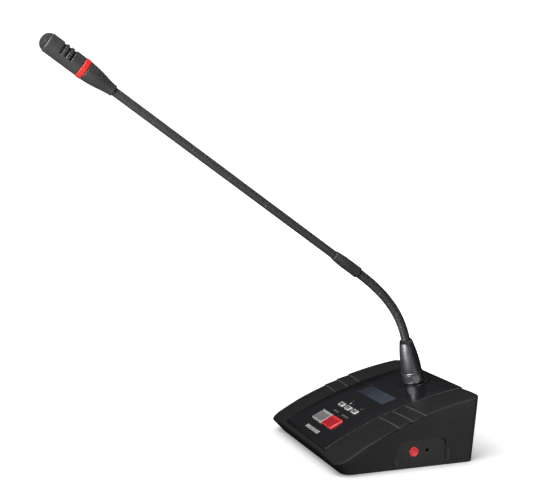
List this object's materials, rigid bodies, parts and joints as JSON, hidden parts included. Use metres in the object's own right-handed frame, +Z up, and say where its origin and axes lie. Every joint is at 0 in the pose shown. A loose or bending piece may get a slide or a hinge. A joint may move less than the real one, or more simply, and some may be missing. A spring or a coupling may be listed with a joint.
{
  "type": "gooseneck podium microphone",
  "caption": "Desktop conference microphone: sloped base with keys, display and side button, and a two-part gooseneck with a slotted head and red light ring.",
  "frame": {"origin": "on the table, under the middle of the base: the lower face of the non-slip pad", "axes": "+Z up, +X the user's right, -Y the front that faces the user; the gooseneck lies in the plane X = 0"},
  "size_m": [0.1716, 0.3791, 0.3819],
  "materials": {
    "satin_black_plastic": "satin moulded ABS, fine grain",
    "gloss_black_plastic": "polished black, mirror-like",
    "window_plastic": "blue-grey tinted display window",
    "circuit_board": "solder-masked glass-fibre board",
    "black_plastic": "plain moulded black plastic",
    "grey_key_plastic": "satin mid-grey keycap",
    "red_key_plastic": "satin red keycap",
    "silver_key_plastic": "pale silver keycap",
    "steel": "zinc-plated sheet",
    "rubber_black": "soft matt rubber",
    "gunmetal": "satin gunmetal coat on metal",
    "black_metal": "satin black coat on steel",
    "contact_brass": "plated contacts",
    "foam_grey": "woven mesh over foam",
    "light_red": "translucent red light ring",
    "capsule_metal": "bare capsule can"
  },
  "bodies": {
    "base": {"housing": "satin_black_plastic", "control_panel": "gloss_black_plastic", "base_plate": "steel", "non_slip_pad": "rubber_black", "base_screw_front_left": "steel", "base_screw_front_right": "steel", "base_screw_rear_left": "steel", "base_screw_rear_right": "steel", "main_board": "circuit_board", "link_socket_in": "black_plastic", "link_socket_out": "black_plastic", "headphone_jack": "black_plastic", "side_switch": "black_plastic", "mic_lead": "rubber_black", "display_window": "window_plastic", "lcd_module": "steel", "display_board": "circuit_board", "key_board": "circuit_board", "talk_switch": "black_plastic", "priority_switch": "black_plastic", "menu_switch_left": "black_plastic", "menu_switch_middle": "black_plastic", "menu_switch_right": "black_plastic", "socket_flange": "black_metal", "socket_body": "black_plastic"},
    "talk_key": {"talk_key": "grey_key_plastic"},
    "priority_key": {"priority_key": "red_key_plastic"},
    "menu_key_left": {"menu_key_left": "silver_key_plastic"},
    "menu_key_middle": {"menu_key_middle": "silver_key_plastic"},
    "menu_key_right": {"menu_key_right": "silver_key_plastic"},
    "side_button": {"side_button": "red_key_plastic"},
    "socket_latch": {"socket_latch": "black_plastic"},
    "mic_plug": {"plug_insert": "contact_brass", "connector_barrel": "gunmetal", "strain_bush": "rubber_black", "neck_lower_1": "black_metal"},
    "connector_ring": {"connector_ring": "gunmetal"},
    "lower_link_1": {"neck_lower_2": "black_metal"},
    "lower_link_2": {"neck_lower_3": "black_metal"},
    "lower_link_3": {"neck_lower_4": "black_metal"},
    "lower_link_4": {"neck_lower_5": "black_metal"},
    "lower_link_5": {"neck_lower_6": "black_metal"},
    "lower_link_6": {"neck_lower_7": "black_metal", "joint_sleeve": "black_metal", "neck_upper_1": "black_metal"},
    "upper_link_1": {"neck_upper_2": "black_metal"},
    "upper_link_2": {"neck_upper_3": "black_metal"},
    "upper_link_3": {"neck_upper_4": "black_metal"},
    "upper_link_4": {"neck_upper_5": "black_metal"},
    "upper_link_5": {"neck_upper_6": "black_metal"},
    "upper_link_6": {"neck_upper_7": "black_metal", "tail_cone": "black_metal", "light_ring": "light_red", "light_board": "circuit_board", "head_tube": "black_metal", "capsule_holder": "rubber_black", "capsule": "capsule_metal", "windscreen": "foam_grey"}
  },
  "joints": [
    {"name": "talk_press", "type": "slide", "parent": "base", "child": "talk_key", "axis": [0, 0.4254, -0.905], "range_m": [0, 0.0012], "stiffness_N_per_m": 150, "springref_m": -0.001},
    {"name": "priority_press", "type": "slide", "parent": "base", "child": "priority_key", "axis": [0, 0.4254, -0.905], "range_m": [0, 0.0012], "stiffness_N_per_m": 150, "springref_m": -0.001},
    {"name": "menu_press_left", "type": "slide", "parent": "base", "child": "menu_key_left", "axis": [0, 0.3699, -0.9291], "range_m": [0, 0.0006], "stiffness_N_per_m": 150, "springref_m": -0.001},
    {"name": "menu_press_middle", "type": "slide", "parent": "base", "child": "menu_key_middle", "axis": [0, 0.3699, -0.9291], "range_m": [0, 0.0006], "stiffness_N_per_m": 150, "springref_m": -0.001},
    {"name": "menu_press_right", "type": "slide", "parent": "base", "child": "menu_key_right", "axis": [0, 0.3699, -0.9291], "range_m": [0, 0.0006], "stiffness_N_per_m": 150, "springref_m": -0.001},
    {"name": "side_button_press", "type": "slide", "parent": "base", "child": "side_button", "axis": [-1, 0, 0], "range_m": [0, 0.001], "stiffness_N_per_m": 150, "springref_m": -0.001},
    {"name": "latch_push", "type": "slide", "parent": "base", "child": "socket_latch", "axis": [0, 0.225, -0.9744], "range_m": [0, 0.002], "stiffness_N_per_m": 150, "springref_m": -0.001},
    {"name": "mic_unplug", "type": "slide", "parent": "base", "child": "mic_plug", "axis": [0, -0.225, 0.9744], "range_m": [0, 0.022]},
    {"name": "ring_turn", "type": "hinge", "parent": "mic_plug", "child": "connector_ring", "pos_m": [0, 0.04775, 0.0582], "axis": [0, -0.225, 0.9744], "continuous": true},
    {"name": "lower_pitch_1", "type": "hinge", "parent": "mic_plug", "child": "lower_link_1", "pos_m": [0, 0.03582, 0.10839], "axis": [1, 0, 0], "range_deg": [-12, 12]},
    {"name": "lower_side_1", "type": "hinge", "parent": "lower_link_1", "child": "lower_link_2", "pos_m": [0, 0.03041, 0.12155], "axis": [0, 0.8916, 0.4527], "range_deg": [-12, 12]},
    {"name": "lower_pitch_2", "type": "hinge", "parent": "lower_link_2", "child": "lower_link_3", "pos_m": [0, 0.02302, 0.1337], "axis": [1, 0, 0], "range_deg": [-12, 12]},
    {"name": "lower_side_2", "type": "hinge", "parent": "lower_link_3", "child": "lower_link_4", "pos_m": [0, 0.014, 0.1447], "axis": [0, 0.7335, 0.6797], "range_deg": [-12, 12]},
    {"name": "lower_pitch_3", "type": "hinge", "parent": "lower_link_4", "child": "lower_link_5", "pos_m": [0, 0.00381, 0.15463], "axis": [1, 0, 0], "range_deg": [-12, 12]},
    {"name": "lower_side_3", "type": "hinge", "parent": "lower_link_5", "child": "lower_link_6", "pos_m": [0, -0.00718, 0.16368], "axis": [0, 0.609, 0.7931], "range_deg": [-12, 12]},
    {"name": "upper_pitch_1", "type": "hinge", "parent": "lower_link_6", "child": "upper_link_1", "pos_m": [0, -0.05516, 0.19836], "axis": [1, 0, 0], "range_deg": [-10, 10]},
    {"name": "upper_side_1", "type": "hinge", "parent": "upper_link_1", "child": "upper_link_2", "pos_m": [0, -0.08957, 0.22312], "axis": [0, 0.5841, 0.8117], "range_deg": [-10, 10]},
    {"name": "upper_pitch_2", "type": "hinge", "parent": "upper_link_2", "child": "upper_link_3", "pos_m": [0, -0.12399, 0.24789], "axis": [1, 0, 0], "range_deg": [-10, 10]},
    {"name": "upper_side_2", "type": "hinge", "parent": "upper_link_3", "child": "upper_link_4", "pos_m": [0, -0.1584, 0.27265], "axis": [0, 0.5841, 0.8117], "range_deg": [-10, 10]},
    {"name": "upper_pitch_3", "type": "hinge", "parent": "upper_link_4", "child": "upper_link_5", "pos_m": [0, -0.19282, 0.29742], "axis": [1, 0, 0], "range_deg": [-10, 10]},
    {"name": "upper_side_3", "type": "hinge", "parent": "upper_link_5", "child": "upper_link_6", "pos_m": [0, -0.22723, 0.32219], "axis": [0, 0.5841, 0.8117], "range_deg": [-10, 10]}
  ],
  "couplings": [
    {"joint": "lower_pitch_2", "follows": "lower_pitch_1", "ratio": 1},
    {"joint": "lower_side_2", "follows": "lower_side_1", "ratio": 1},
    {"joint": "lower_pitch_3", "follows": "lower_pitch_1", "ratio": 1},
    {"joint": "lower_side_3", "follows": "lower_side_1", "ratio": 1},
    {"joint": "upper_pitch_2", "follows": "upper_pitch_1", "ratio": 1},
    {"joint": "upper_side_2", "follows": "upper_side_1", "ratio": 1},
    {"joint": "upper_pitch_3", "follows": "upper_pitch_1", "ratio": 1},
    {"joint": "upper_side_3", "follows": "upper_side_1", "ratio": 1}
  ]
}
